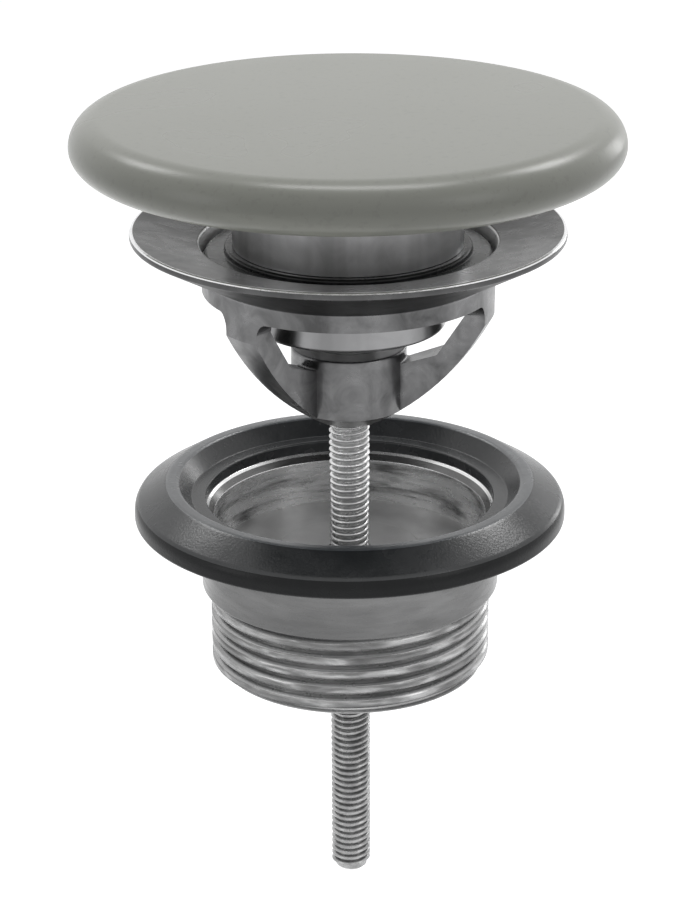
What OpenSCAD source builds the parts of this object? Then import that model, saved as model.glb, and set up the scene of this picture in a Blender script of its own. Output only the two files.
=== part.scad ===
// Push-open basin waste with a ceramic cap, shown closed and spread along its clamp screw.
// The origin is on the axis, where the flange's conical seat meets the neck; z points up.

/* [Ceramic cap] */
// Radius of the cap
cap_r = 39.5; // [36:0.5:43]
// Thickness of the cap
cap_t = 7.7; // [7.4:0.1:9]
// Height of the rounding above the cap's widest line
cap_over_h = 4.2; // [3:0.1:4.5]
// Width of the rounding above the cap's widest line
cap_over_w = 4.6; // [3:0.1:8]
// Height of the rounding below the cap's widest line
cap_under_h = 3.3; // [2:0.1:3.4]
// Width of the rounding below the cap's widest line
cap_under_w = 4.3; // [3:0.1:8]
// Depth of the pocket in the cap's underside that the collar sits in
cap_pocket_d = 0.6; // [0.4:0.1:1.5]
// Gap between the flange's rim and the closed cap
cap_gap = 9.15; // [8:0.05:12]
// Thickness of the adhesive pad between cap and collar
bond_t = 0.5; // [0.3:0.1:1]

/* [Plug] */
// Radius of the collar under the cap
collar_r = 16.7; // [15.5:0.1:17.2]
// Radius of the seal's raised boss
boss_r = 17.85; // [17.5:0.05:18.5]
// Height of the boss above the brim
boss_h = 1.3; // [0.8:0.1:1.8]
// Radius of the seal's brim
brim_r = 20.7; // [20:0.05:20.7]
// Thickness of the brim
brim_t = 1.2; // [0.8:0.1:1.6]
// Radius of the latch housing
housing_r = 14.2; // [13.8:0.1:14.6]
// Length of the latch housing below the seal
housing_h = 10; // [9:0.05:11]
// Radius of the edge round the housing's bottom
housing_edge = 0.8; // [0.3:0.1:1.2]
// Radius of the housing's threaded spigot
spigot_r = 12.6; // [12.3:0.1:13]
// Length of the spigot above the seal's underside
spigot_h = 7.5; // [6.5:0.1:8]
// Height that the plug rises by
plug_travel = 7; // [6:0.5:7]

/* [Flange body] */
// Radius of the flange
flange_r = 31.4; // [30:0.1:34]
// Thickness of the flange's rim
rim_t = 1.1; // [0.8:0.1:1.6]
// Height of the conical seat, from the neck to the rim's underside
seat_h = 5.55; // [5:0.05:6.5]
// Drop of the dished top, from the rim to the recess
dish_drop = 2.15; // [1.5:0.05:2.4]
// Radius of the recess at its mouth
dish_r = 21.45; // [21.2:0.05:22]
// Radius of the recess at its floor
recess_r = 21.15; // [21.1:0.05:21.2]
// Depth of the recess
recess_d = 2.6; // [2.4:0.1:2.8]
// Radius of the neck
neck_r = 21.2; // [21.2:0.05:21.4]
// Radius of the neck's bore
neck_bore_r = 18.2; // [17.9:0.1:18.4]
// Height of the neck above the windows
neck_h = 2.6; // [2.4:0.1:4]
// Distance from the seat down to the bowl's edge
wall_h = 5.8; // [5.6:0.1:7]
// Radius of the windows' upper corners
window_corner_r = 2.5; // [1.5:0.1:2.8]
// Number of arms between neck and hub
arm_count = 3; // [2:1:4]
// Width of an arm at the neck
arm_w_neck = 6.3; // [5:0.1:8]
// Width of an arm at the hub
arm_w_hub = 3.8; // [3:0.1:5]
// Turn of the first arm about the axis
arm_turn = -136; // [-180:1:180]
// Radius of the arc of the bowl's outer form
bowl_arc_r = 42; // [36:1:60]
// Radius of the hub
hub_r = 8.45; // [7.5:0.05:9.5]
// Distance from the seat down to the hub's top
hub_top = 11.35; // [11.2:0.05:12]
// Distance from the seat down to the hub's bottom
hub_bottom = 22.8; // [22.6:0.1:24]

/* [Clamp screw] */
// Radius of the screw's thread
screw_r = 3; // [2.8:0.05:3]
// Length of the screw under its head
screw_len = 80; // [70:5:90]
// Radius of the screw's head
head_r = 4.7; // [4.4:0.05:4.7]
// Height of the screw's head
head_h = 3; // [2.5:0.1:3]
// Thickness of the washer under the head
washer_t = 0.8; // [0.5:0.1:0.8]

/* [Gasket] */
// Distance from the seat down to the gasket's ridge
gasket_top = 32.3; // [30:0.1:36]
// Outer radius of the gasket
gasket_r = 32; // [30.5:0.1:34]
// Height of the gasket's outer edge, with its rounding
gasket_edge_h = 3.1; // [2.8:0.1:3.6]
// Height of the cone from the outer edge to the ridge
gasket_cone_h = 2.4; // [1.8:0.1:2.6]
// Outer radius of the ridge
ridge_r = 27.1; // [26.4:0.1:28]
// Width of the ridge's top
ridge_w = 1.6; // [0.8:0.1:1.8]
// Radius of the inner ledge's outer edge
ledge_r = 23.5; // [23:0.1:24]
// Depth of the ledge below the ridge
ledge_d = 2.55; // [2.2:0.05:2.7]
// Radius of the gasket's hole
gasket_bore_r = 21.35; // [21.3:0.05:21.6]

/* [Tail] */
// Radius of the tail's plain skirt
skirt_r = 22.2; // [22:0.1:22.6]
// Height of the skirt
skirt_h = 12.2; // [11.8:0.1:14]
// Radius of the cup in the tail's top
cup_r = 20.2; // [19.8:0.1:20.4]
// Depth of the cup down to the web
cup_d = 8; // [7:0.1:9]
// Radius of the lip round the cup's mouth
lip_r = 21.3; // [21:0.1:21.5]
// Height of the lip
lip_h = 1.2; // [0.8:0.1:1.5]
// Crest radius of the pipe thread
thread_r = 20.955; // [20.955:0.001:20.956]
// Pitch of the pipe thread
thread_pitch = 2.309; // [2.309:0.001:2.310]
// Number of crests on the threaded end
thread_turns = 5; // [4:1:6]
// Radius of the tail's lower bore
tail_bore_r = 18; // [17.5:0.1:18.2]
// Thickness of the web across the tail
web_t = 3.4; // [3:0.1:4]
// Radius of the raised middle of the web
pad_r = 11.2; // [9:0.1:11.4]
// Angle that each drain window in the web spans
drain_span = 60; // [40:2:100]
// Turn of the first drain window about the axis
drain_turn = 180; // [0:5:180]
// Width across the flats of the tail's nut
nut_af = 10; // [9:0.5:10]
// Height of the tail's nut
nut_h = 5; // [4:0.5:5]

/* [Latch] */
// Radius of the latch stem
stem_r = 4.1; // [3.9:0.05:4.2]
// Radius of the stem's threaded foot, and of the bore in the hub
foot_r = 5; // [5:0.05:5.2]
// Height of the stem's foot
foot_h = 3.2; // [2.8:0.1:3.2]
// Radius of the stem's upper pin
pin_r = 3; // [2.6:0.1:3]
// Wall of the housing's floor
housing_floor = 1.5; // [1.2:0.1:1.6]
// Outer radius of the guide sleeve
guide_r = 11.2; // [11:0.1:11.4]
// Inner radius of the guide sleeve
guide_bore_r = 9; // [8.8:0.1:9.2]
// Height of the guide's cam ribs
rib_h = 2.4; // [2:0.1:2.6]
// Radius of the rotor's body
rotor_r = 6.5; // [6.2:0.1:6.5]
// Radius over the rotor's lugs
lug_r = 8.6; // [8.2:0.1:8.7]
// Height of the rotor
rotor_h = 4; // [3.6:0.1:4]
// Number of lugs and of cam ribs
lug_count = 4; // [3:1:4]
// Diameter of the spring's wire
wire_d = 0.9; // [0.8:0.1:1]
// Radius of the spring, to the middle of its wire
spring_r = 5.6; // [5.4:0.1:5.7]
// Number of the spring's coils
spring_coils = 4; // [3:1:4]

/* [Hidden] */
$fn = 96;

// Overrun of every cut, and running gaps between pieces
cut = 1;
slide_gap = 0.3;
thread_gap = 0.06;
shaft_gap = 0.3;
arc_steps = 10;

// Heights of the flange body, up from the seat
rim_top_z = seat_h + rim_t;
dish_z = rim_top_z - dish_drop;
recess_z = dish_z - recess_d;
rim_edge = 0.25;

// The bowl's outer form is an arc from the wall's foot to the hub's foot
bowl_rim = [neck_r, -wall_h];
hub_foot_d = 2.45;
bowl_foot = [hub_r, -(hub_bottom - hub_foot_d)];
bowl_mid = (bowl_rim + bowl_foot) / 2;
bowl_chord = norm(bowl_rim - bowl_foot);
bowl_normal = [bowl_foot[1] - bowl_rim[1], bowl_rim[0] - bowl_foot[0]] / bowl_chord;
bowl_centre = bowl_mid + bowl_normal * sqrt(pow(bowl_arc_r, 2) - pow(bowl_chord / 2, 2));
function bowl_r_at(z) = bowl_centre[0] + sqrt(pow(bowl_arc_r, 2) - pow(z - bowl_centre[1], 2));

// The arms' inner side runs down a ramp, then along a sloping floor to the hub
ramp_top = 4.6;
ramp_foot_r = 14;
ramp_foot_z = -11.1;
arm_floor_d = 1.85;
corner_lift = 0.03;
hub_edge = 0.3;

// Depths in the hub, down from the seat
head_seat = 18.9;
screw_hole_r = screw_r + shaft_gap;
head_z = -(head_seat - washer_t);
slot_w = 1.2;
slot_d = 1.4;
screw_tip = 1;

// Heights of the plug
brim_z = recess_z;
boss_top_z = brim_z + brim_t + boss_h;
housing_z = brim_z - housing_h;
spigot_z = brim_z + spigot_h;
cap_z = rim_top_z + cap_gap;
pocket_z = cap_z + cap_pocket_d;
collar_z = pocket_z - bond_t;
ceiling_t = 2.5;
ceiling_z = collar_z - ceiling_t;
chamber_r = 8;
chamber_neck = 0.4;
bond_inset = 1.2;
cap_crown = 0.2;
pad_groove = 0.4;

// Heights of the latch
cavity_z = housing_z + housing_floor;
shoulder_t = 0.9;
shoulder_r = 5.5;
shoulder_z = cavity_z + plug_travel + slide_gap + shoulder_t;
rotor_z = shoulder_z;
rotor_top_z = rotor_z + rotor_h;
clip_gap = 0.4;
clip_t = 0.6;
clip_z = rotor_top_z + clip_gap;
clip_r = 4.8;
clip_groove_r = 2.4;
clip_mouth = 3.4;
spring_washer_t = 0.6;
spring_washer_r = rotor_r;
spring_z = clip_z + clip_t + spring_washer_t;
stem_top_z = spring_z + 1.6 * wire_d;
stem_tip = 0.5;
guide_top_z = spigot_z;
rib_top_z = rotor_z - slide_gap;
rib_z = rib_top_z - rib_h;
rib_r = rotor_r + slide_gap;
rib_span = 50;
lug_span = 30;
cam_rise = 1.1;
lug_rise = 0.9;
wire_sides = 8;
coil_steps = 24;

// Heights of the gasket and the tail
ledge_z = -gasket_top - ledge_d;
gasket_edge_z = -gasket_top - gasket_cone_h;
gasket_z = gasket_edge_z - gasket_edge_h;
lip_cover = 1.7;
tail_top_z = ledge_z - lip_cover;
socket_gap = 0.05;
under_groove_d = 0.6;
under_groove_w = 3;
gasket_round = 0.4;
shoulder_w = 0.95;
shoulder_h = 2;
web_z = tail_top_z - cup_d;
skirt_z = tail_top_z - skirt_h;
undercut_h = 0.6;
undercut_r = 19.479;
thread_root_r = 19.479;
thread_crest_w = 0.45;
thread_flank = 0.77;
thread_z = skirt_z - undercut_h;
thread_foot_z = thread_z - thread_turns * thread_pitch;
thread_end = 0.65;
tail_edge = 0.15;
thread_end_r = thread_root_r + (thread_r - thread_root_r) * (thread_end - tail_edge) / thread_flank;
tail_z = thread_foot_z - thread_end;
cup_fillet = 0.3;
pad_h = 0.7;
pad_edge = 0.5;
drain_wall = 0.6;
drain_in_r = pad_r + drain_wall;
drain_out_r = tail_bore_r - drain_wall;
nut_boss_wall = 1.7;
nut_boss_r = nut_af / 2 / cos(30) + nut_boss_wall;
nut_bore_r = screw_r + thread_gap;
nut_edge = 0.5;
nut_z = web_z - web_t - nut_h;

// Points of an elliptical corner, from angle a0 to a1 round c
function corner(c, w, h, a0, a1) =
    [for (i = [0:arc_steps]) let (a = a0 + (a1 - a0) * i / arc_steps) c + [w * cos(a), h * sin(a)]];

// Points of the bowl's arc, from the height z0 down to z1
function bowl_arc(z0, z1) =
    [for (i = [0:arc_steps]) let (z = z0 + (z1 - z0) * i / arc_steps) [bowl_r_at(z), z]];

// Points of a curve from a to b that leaves and meets the lines through c
function blend(a, c, b) =
    [for (i = [0:arc_steps]) let (t = i / arc_steps) (1 - t) * (1 - t) * a + 2 * t * (1 - t) * c + t * t * b];

// A pie slice that spans the angle a, symmetric about the x axis
module slice(r, a) {
    polygon(concat([[0, 0]], [for (i = [-2:2]) 2 * r * [cos(a * i / 4), sin(a * i / 4)]]));
}

// A ring sector
module sector(r_in, r_out, a, z, h) {
    translate([0, 0, z])
        intersection() {
            difference() {
                cylinder(r = r_out, h = h);
                translate([0, 0, -cut])
                    cylinder(r = r_in, h = h + 2 * cut);
            }
            translate([0, 0, -cut])
                linear_extrude(h + 2 * cut)
                    slice(r_out, a);
        }
}

module round_array(count, turn = 0) {
    for (i = [0:count - 1])
        rotate([0, 0, turn + i * 360 / count])
            children();
}

module ceramic_cap() {
    mid_z = cap_z + cap_under_h;
    upper = corner([cap_r - cap_over_w, mid_z], cap_over_w, cap_over_h, 0, 90);
    lower = corner([cap_r - cap_under_w, mid_z], cap_under_w, cap_under_h, -90, 0);
    pocket_r = collar_r + slide_gap;
    color([0.6, 0.6, 0.57])
        rotate_extrude()
            polygon(concat(
                [[0, pocket_z], [pocket_r, pocket_z], [pocket_r, cap_z]],
                lower,
                upper,
                [[(cap_r - cap_over_w) / 2, cap_z + cap_t - cap_crown / 4], [0, cap_z + cap_t]]
            ));
}

module bond_pad() {
    color("whitesmoke")
        translate([0, 0, collar_z])
            cylinder(r = collar_r - bond_inset, h = bond_t);
}

module plug_collar() {
    color([0.72, 0.73, 0.75])
        rotate_extrude()
            polygon([
                [spigot_r, boss_top_z],
                [collar_r - hub_edge, boss_top_z],
                [collar_r, boss_top_z + hub_edge],
                [collar_r, collar_z - hub_edge],
                [collar_r - hub_edge, collar_z],
                [0, collar_z],
                [0, ceiling_z],
                [chamber_r, ceiling_z],
                [chamber_r, spigot_z + chamber_neck],
                [spigot_r, spigot_z + chamber_neck]
            ]);
}

// The seal's brim thins to its lip; its hole takes the housing's spigot
module plug_seal() {
    brim_lip = 0.35;
    color([0.1, 0.1, 0.1])
        rotate_extrude()
            polygon([
                [spigot_r, brim_z],
                [brim_r - brim_lip, brim_z],
                [brim_r, brim_z + brim_lip],
                [brim_r, brim_z + brim_t - brim_lip / 2],
                [brim_r - brim_lip / 2, brim_z + brim_t],
                [boss_r, brim_z + brim_t],
                [boss_r, boss_top_z - brim_lip / 2],
                [boss_r - brim_lip / 2, boss_top_z],
                [spigot_r, boss_top_z]
            ]);
}

module latch_housing() {
    edge = corner([housing_r - housing_edge, housing_z + housing_edge], housing_edge, housing_edge, -90, 0);
    color([0.72, 0.73, 0.75])
        rotate_extrude()
            polygon(concat(
                [[stem_r + slide_gap, housing_z]],
                edge,
                [
                    [housing_r, brim_z],
                    [spigot_r, brim_z],
                    [spigot_r, spigot_z],
                    [guide_r, spigot_z],
                    [guide_r, cavity_z],
                    [stem_r + slide_gap, cavity_z]
                ]
            ));
}

// A cam rib or lug: a ring sector whose face slopes from one end to the other
module cam_block(r_in, r_out, span, z, h, rise, up) {
    tilt = atan(rise / (r_out * sin(span)));
    difference() {
        sector(r_in, r_out, span, z, h);
        translate([0, 0, up ? z + h - rise / 2 : z + rise / 2])
            rotate([up ? tilt : -tilt, 0, 0])
                translate([0, 0, up ? r_out : -r_out])
                    cube(2 * r_out, center = true);
    }
}

module latch_guide() {
    color("ghostwhite") {
        difference() {
            translate([0, 0, cavity_z])
                cylinder(r = guide_r, h = guide_top_z - cavity_z);
            translate([0, 0, cavity_z - cut])
                cylinder(r = guide_bore_r, h = guide_top_z - cavity_z + 2 * cut);
        }
        round_array(lug_count, 180 / lug_count)
            cam_block(rib_r, guide_bore_r + slide_gap, rib_span, rib_z, rib_h, cam_rise, true);
    }
}

module index_rotor() {
    color("gold")
        difference() {
            union() {
                translate([0, 0, rotor_z])
                    cylinder(r = rotor_r, h = rotor_h);
                round_array(lug_count)
                    cam_block(pin_r + cut, lug_r, lug_span, rotor_z, rotor_h, lug_rise, false);
            }
            translate([0, 0, rotor_z - cut])
                cylinder(r = pin_r + slide_gap, h = rotor_h + 2 * cut);
        }
}

// A round wire swept along a helix, with closed ends
module latch_spring() {
    wire_r = wire_d / 2;
    rise = ceiling_z - spring_z - wire_d;
    steps = spring_coils * coil_steps;
    rings = [for (i = [0:steps]) let (a = i * 360 / coil_steps, z = spring_z + wire_r + rise * i / steps)
        [for (j = [0:wire_sides - 1]) let (b = 360 * j / wire_sides, r = spring_r + wire_r * cos(b))
            [r * cos(a), r * sin(a), z + wire_r * sin(b)]]];
    points = [for (ring = rings) each ring];
    sides = [for (i = [0:steps - 1], j = [0:wire_sides - 1]) let (k = (j + 1) % wire_sides)
        [i * wire_sides + j, i * wire_sides + k, (i + 1) * wire_sides + k, (i + 1) * wire_sides + j]];
    start_face = [for (j = [wire_sides - 1:-1:0]) j];
    end_face = [for (j = [0:wire_sides - 1]) steps * wire_sides + j];
    color("silver")
        polyhedron(points, concat(sides, [start_face], [end_face]), convexity = 10);
}

module spring_washer() {
    color("silver")
        difference() {
            translate([0, 0, clip_z + clip_t])
                cylinder(r = spring_washer_r, h = spring_washer_t);
            translate([0, 0, clip_z + clip_t - cut])
                cylinder(r = pin_r, h = spring_washer_t + 2 * cut);
        }
}

// An open retaining clip in the stem's groove
module stem_clip() {
    color("dimgray")
        difference() {
            translate([0, 0, clip_z])
                cylinder(r = clip_r, h = clip_t);
            translate([0, 0, clip_z - cut])
                cylinder(r = clip_groove_r, h = clip_t + 2 * cut);
            translate([0, -clip_mouth / 2, clip_z - cut])
                cube([clip_r + cut, clip_mouth, clip_t + 2 * cut]);
        }
}

module latch_stem() {
    color([0.8, 0.8, 0.8])
        rotate_extrude()
            polygon([
                [0, -hub_top - foot_h],
                [foot_r - stem_tip, -hub_top - foot_h],
                [foot_r, -hub_top - foot_h + stem_tip],
                [foot_r, -hub_top],
                [stem_r, -hub_top],
                [stem_r, shoulder_z - shoulder_t],
                [shoulder_r, shoulder_z - shoulder_t],
                [shoulder_r, shoulder_z],
                [pin_r, shoulder_z],
                [pin_r, clip_z],
                [clip_groove_r, clip_z],
                [clip_groove_r, clip_z + clip_t],
                [pin_r, clip_z + clip_t],
                [pin_r, stem_top_z - stem_tip],
                [pin_r - stem_tip, stem_top_z],
                [0, stem_top_z]
            ]);
}

// The casting's turned form: flange, neck, bowl and hub, before the windows are cut
module casting_form() {
    rotate_extrude()
        polygon(concat(
            [[0, -hub_top], [0, -hub_bottom]],
            bowl_arc(-hub_bottom, -wall_h),
            [
                [neck_r, 0],
                [flange_r - rim_edge, seat_h],
                [flange_r, seat_h + rim_edge],
                [flange_r, rim_top_z - rim_edge],
                [flange_r - rim_edge, rim_top_z],
                [dish_r, dish_z],
                [recess_r, recess_z],
                [neck_bore_r + rim_edge, recess_z],
                [neck_bore_r, recess_z - rim_edge],
                [neck_bore_r, -ramp_top],
                [ramp_foot_r, ramp_foot_z],
                [hub_r, -hub_top - arm_floor_d],
                [hub_r, -hub_top - hub_edge],
                [hub_r - hub_edge, -hub_top]
            ]
        ));
}

// An arm seen from above, carried through the casting's height, with the windows' upper corners
module arm_block() {
    run = neck_r - hub_r;
    flare = (arm_w_neck - arm_w_hub) / 2 / run;
    root = hub_r / 2;
    reach = neck_r + 2 * cut;
    side = atan(flare);
    root_w = arm_w_hub / 2 - flare * hub_r;
    translate([0, 0, -hub_bottom - 2 * cut])
        linear_extrude(hub_bottom + 2 * cut)
            polygon([
                [root, -root_w - flare * root],
                [reach, -root_w - flare * reach],
                [reach, root_w + flare * reach],
                [root, root_w + flare * root]
            ]);
    for (m = [0, 1])
        mirror([0, m, 0])
            translate([0, root_w, -neck_h - window_corner_r + corner_lift])
                rotate([0, 0, side])
                    difference() {
                        translate([ramp_foot_r, -rim_edge, 0])
                            cube([reach - ramp_foot_r, window_corner_r + rim_edge, window_corner_r + neck_h]);
                        translate([0, window_corner_r, 0])
                            rotate([0, 90, 0])
                                cylinder(r = window_corner_r, h = reach + cut);
                    }
}

// What is cut away below the neck: all but the arms and the hub
module window_cut() {
    difference() {
        translate([0, 0, -hub_bottom - cut])
            cylinder(r = neck_r + cut, h = hub_bottom + cut - neck_h);
        translate([0, 0, -hub_bottom - 2 * cut])
            cylinder(r = hub_r, h = hub_bottom + 2 * cut);
        round_array(arm_count, arm_turn)
            arm_block();
    }
}

// The hub's bore for the stem's foot and the screw's head, and the hole for the screw
module hub_bores() {
    translate([0, 0, -head_seat])
        cylinder(r = foot_r, h = head_seat);
    translate([0, 0, -hub_bottom - cut])
        cylinder(r = screw_hole_r, h = hub_bottom);
}

// One casting: the flange and neck, the arms between the windows, and the hub
module flange_body() {
    color([0.7, 0.71, 0.73])
        difference() {
            casting_form();
            window_cut();
            hub_bores();
        }
}

module screw_washer() {
    color("silver")
        difference() {
            translate([0, 0, -head_seat])
                cylinder(r = head_r, h = washer_t);
            translate([0, 0, -head_seat - cut])
                cylinder(r = screw_hole_r, h = washer_t + 2 * cut);
        }
}

// A slotted cheese-head screw with a long thread
module clamp_screw() {
    tip_z = head_z - screw_len;
    color([0.75, 0.75, 0.76])
        difference() {
            rotate_extrude()
                polygon([
                    [0, tip_z],
                    [screw_r - screw_tip, tip_z],
                    [screw_r, tip_z + screw_tip],
                    [screw_r, head_z],
                    [head_r, head_z],
                    [head_r, head_z + head_h - hub_edge],
                    [head_r - hub_edge, head_z + head_h],
                    [0, head_z + head_h]
                ]);
            translate([-head_r - cut, -slot_w / 2, head_z + head_h - slot_d])
                cube([2 * (head_r + cut), slot_w, slot_d + cut]);
        }
}

// A turned rubber ring: a cone up to a ridge, a ledge inside it, and a socket for the tail's rim
module under_gasket() {
    socket_r = skirt_r + socket_gap;
    groove_r = (socket_r + gasket_r) / 2;
    cone_foot = [gasket_r - shoulder_w, gasket_edge_z];
    slope = gasket_cone_h / (cone_foot[0] - ridge_r);
    shoulder = blend(
        [gasket_r, gasket_edge_z - shoulder_h],
        [gasket_r, gasket_edge_z - slope * shoulder_w],
        cone_foot
    );
    color([0.09, 0.09, 0.09])
        rotate_extrude()
            polygon(concat([
                [socket_r, gasket_z],
                [groove_r - under_groove_w / 2, gasket_z],
                [groove_r - under_groove_w / 2 + under_groove_d / 2, gasket_z + under_groove_d],
                [groove_r + under_groove_w / 2 - under_groove_d / 2, gasket_z + under_groove_d],
                [groove_r + under_groove_w / 2, gasket_z],
                [gasket_r - gasket_round, gasket_z],
                [gasket_r, gasket_z + gasket_round]
            ], shoulder, [
                [ridge_r + gasket_round / 2, -gasket_top - gasket_round / 4],
                [ridge_r - gasket_round / 2, -gasket_top],
                [ridge_r - ridge_w, -gasket_top],
                [ridge_r - ridge_w - gasket_round / 2, -gasket_top - gasket_round / 4],
                [ledge_r, ledge_z],
                [gasket_bore_r, ledge_z],
                [gasket_bore_r, tail_top_z],
                [socket_r, tail_top_z]
            ]));
}

// The tail's turned form with its web; the thread stands as rings of the true section
module tail_form() {
    rings = [for (i = [0:thread_turns - 1]) let (z = thread_z - i * thread_pitch) each [
        [thread_root_r, z],
        [thread_r, z - thread_flank],
        [thread_r, z - thread_flank - thread_crest_w],
        [thread_root_r, z - 2 * thread_flank - thread_crest_w]
    ]];
    rotate_extrude()
        polygon(concat(
            [
                [0, web_z + pad_h],
                [pad_r - pad_edge, web_z + pad_h],
                [pad_r, web_z],
                [cup_r - cup_fillet, web_z],
                [cup_r, web_z + cup_fillet],
                [cup_r, tail_top_z - lip_h],
                [lip_r, tail_top_z],
                [skirt_r, tail_top_z],
                [skirt_r, skirt_z + rim_edge],
                [skirt_r - rim_edge, skirt_z],
                [undercut_r, skirt_z]
            ],
            rings,
            [
                [thread_root_r, thread_foot_z],
                [thread_end_r, tail_z + tail_edge],
                [thread_end_r - tail_edge, tail_z],
                [tail_bore_r, tail_z],
                [tail_bore_r, web_z - web_t],
                [nut_boss_r, web_z - web_t],
                [nut_boss_r, nut_z],
                [0, nut_z]
            ]
        ));
}

// One casting: cup, skirt and threaded end, with a drained web across it
module tail_body() {
    color([0.7, 0.71, 0.73])
        difference() {
            tail_form();
            round_array(2, drain_turn)
                sector(drain_in_r, drain_out_r, drain_span, web_z - web_t - cut, web_t + 2 * cut);
            translate([0, 0, nut_z - cut])
                cylinder(r = screw_hole_r, h = nut_h + web_t + pad_h + 2 * cut);
            translate([0, 0, nut_z - cut])
                cylinder(r = nut_af / 2 / cos(30), h = nut_h + cut, $fn = 6);
        }
}

module tail_nut() {
    corner_r = nut_af / 2 / cos(30);
    color("goldenrod")
        translate([0, 0, nut_z])
            difference() {
                intersection() {
                    cylinder(r = corner_r, h = nut_h, $fn = 6);
                    rotate_extrude()
                        polygon([
                            [0, 0],
                            [nut_af / 2, 0],
                            [corner_r, nut_edge],
                            [corner_r, nut_h],
                            [0, nut_h]
                        ]);
                }
                translate([0, 0, -cut])
                    cylinder(r = nut_bore_r, h = nut_h + 2 * cut);
            }
}

ceramic_cap();
bond_pad();
plug_collar();
plug_seal();
latch_housing();
latch_guide();
index_rotor();
latch_spring();
spring_washer();
stem_clip();
latch_stem();
flange_body();
screw_washer();
clamp_screw();
under_gasket();
tail_body();
tail_nut();
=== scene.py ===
"""Push-open basin waste: glazed cap, satin strainer, rubber rings, cast tail and a long clamp screw."""

import math

import bmesh
import bpy
from mathutils import Matrix, Vector


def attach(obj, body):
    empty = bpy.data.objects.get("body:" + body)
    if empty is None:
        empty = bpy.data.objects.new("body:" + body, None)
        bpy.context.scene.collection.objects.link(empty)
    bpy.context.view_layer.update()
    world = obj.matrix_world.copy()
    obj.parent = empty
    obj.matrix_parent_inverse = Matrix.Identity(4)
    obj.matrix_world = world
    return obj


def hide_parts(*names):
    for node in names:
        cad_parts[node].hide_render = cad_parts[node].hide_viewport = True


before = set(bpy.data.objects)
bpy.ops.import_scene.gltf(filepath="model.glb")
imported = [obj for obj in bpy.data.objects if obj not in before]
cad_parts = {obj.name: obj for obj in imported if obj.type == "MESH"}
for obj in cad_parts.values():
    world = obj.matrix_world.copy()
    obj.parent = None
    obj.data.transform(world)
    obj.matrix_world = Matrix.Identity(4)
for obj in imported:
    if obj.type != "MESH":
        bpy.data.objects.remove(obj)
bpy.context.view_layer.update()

MM = 0.001
TURN = 2 * math.pi

# Sizes in millimetres, as in the part's source where no comment says otherwise
CAP_R, CAP_Z, CAP_T, CAP_CROWN = 39.5, 15.8, 7.7, 0.2
CAP_OVER, CAP_UNDER = (4.6, 4.2), (4.3, 3.3)
POCKET_GAP, POCKET_DEPTH = 0.3, 0.6
COLLAR_R, COLLAR_Z = 16.7, 15.9
SPIGOT_R, SPIGOT_TOP = 12.6, 9.8
SPRING_ROOM_R, SPRING_ROOM_TOP = 8.0, 13.4
BRIM_Z, BRIM_T, BRIM_R = 1.9, 1.2, 20.7
# The boss and the collar's foot end 0.4 lower than in the source, as the dark band in the photograph does
BOSS_R, BOSS_Z = 17.85, 4.0
FLANGE_R, SEAT_H, RIM_Z = 31.4, 5.55, 6.65
DISH_R, DISH_Z, RECESS_R = 21.45, 4.5, 21.15
NECK_R, NECK_H, WALL_H = 21.2, 2.6, 5.8
NECK_BORE_R, NECK_BORE_Z = 18.2, -4.6
HUB_R, HUB_TOP, HUB_BOTTOM = 8.45, 11.35, 22.8
HEAD_SEAT, FOOT_R, HOLE_R = 18.9, 5.0, 3.3
ARM_COUNT, ARM_TURN = 3, math.radians(-136)
ARM_NECK, ARM_HUB, ARM_SHOULDER, CORNER_R = 6.3, 3.8, 1.85, 2.5
BOWL_ARC_R, BOWL_FOOT, BOWL_INSIDE = 42.0, 2.45, (14.0, -11.1)
SCREW_R, SCREW_ROOT, SCREW_PITCH = 3.0, 2.42, 1.0
HEAD_R, HEAD_Z, HEAD_H = 4.7, -18.1, 3.0
SLOT_W, SLOT_DEPTH = 1.2, 1.4
SHANK_H, SHANK_FOOT = 1.6, 2.0
TIP_Z, TIP_R, TIP_H = -98.1, 2.0, 0.42
GASKET_R, GASKET_TOP, RIDGE_R, RIDGE_W = 32.0, -32.3, 27.1, 1.6
CONE_Z, CONE_DROP, CONE_SHOULDER = -34.7, 2.0, 0.95
GASKET_Z, GASKET_BORE, LEDGE_Z, LEDGE_R = -37.8, 21.35, -34.85, 23.5
SOCKET_GAP, GROOVE_MOUTH, GROOVE_FLOOR, GROOVE_DEPTH = 0.05, 1.5, 1.2, 0.6
TAIL_TOP, TAIL_Z, TAIL_BORE = -36.55, -61.545, 18.0
CUP_R, LEAD_IN_R, LEAD_IN_H = 20.2, 21.3, 1.2
LEAD_IN_BEND = (20.98, 0.35)
WEB_Z, WEB_T = -44.55, 3.4
STEP_R, STEP_FOOT_R, STEP_H = 10.7, 11.2, 0.7
# The drains are 10 degrees narrower on each side than in the source, since the photograph's view shows none
DRAIN_R, DRAIN_INNER_R, DRAIN_HALF_ANGLE = 17.4, 11.8, 20
NUT_BOSS_R, NUT_H, NUT_CORNER_R = 7.47, 5.0, 5.7735
SKIRT_R, SKIRT_Z = 22.2, -48.75
THREAD_R, THREAD_ROOT, THREAD_PITCH = 20.955, 19.479, 2.309
END_LAND_R, END_LAND_H = 20.25, 0.4
# The source has plain rings and a plain shaft for the threads, which are helices here; each starts at its
# height over the tail's or the screw's lower end
PIPE_TURNS, PIPE_START = 5.2, 0.2
SCREW_TURNS, SCREW_START = 77.2, 0.75

SHARP_ANGLE = math.radians(32)
# The heights, in metres, between which the zinc turns lighter: painted light against the shade of the bowl
# above
ZINC_PAINTED_LIGHT = (-0.052, -0.03)


# Meshes

def make_object(name, mesh):
    obj = bpy.data.objects.new(name, mesh)
    bpy.context.scene.collection.objects.link(obj)
    return obj


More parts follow.
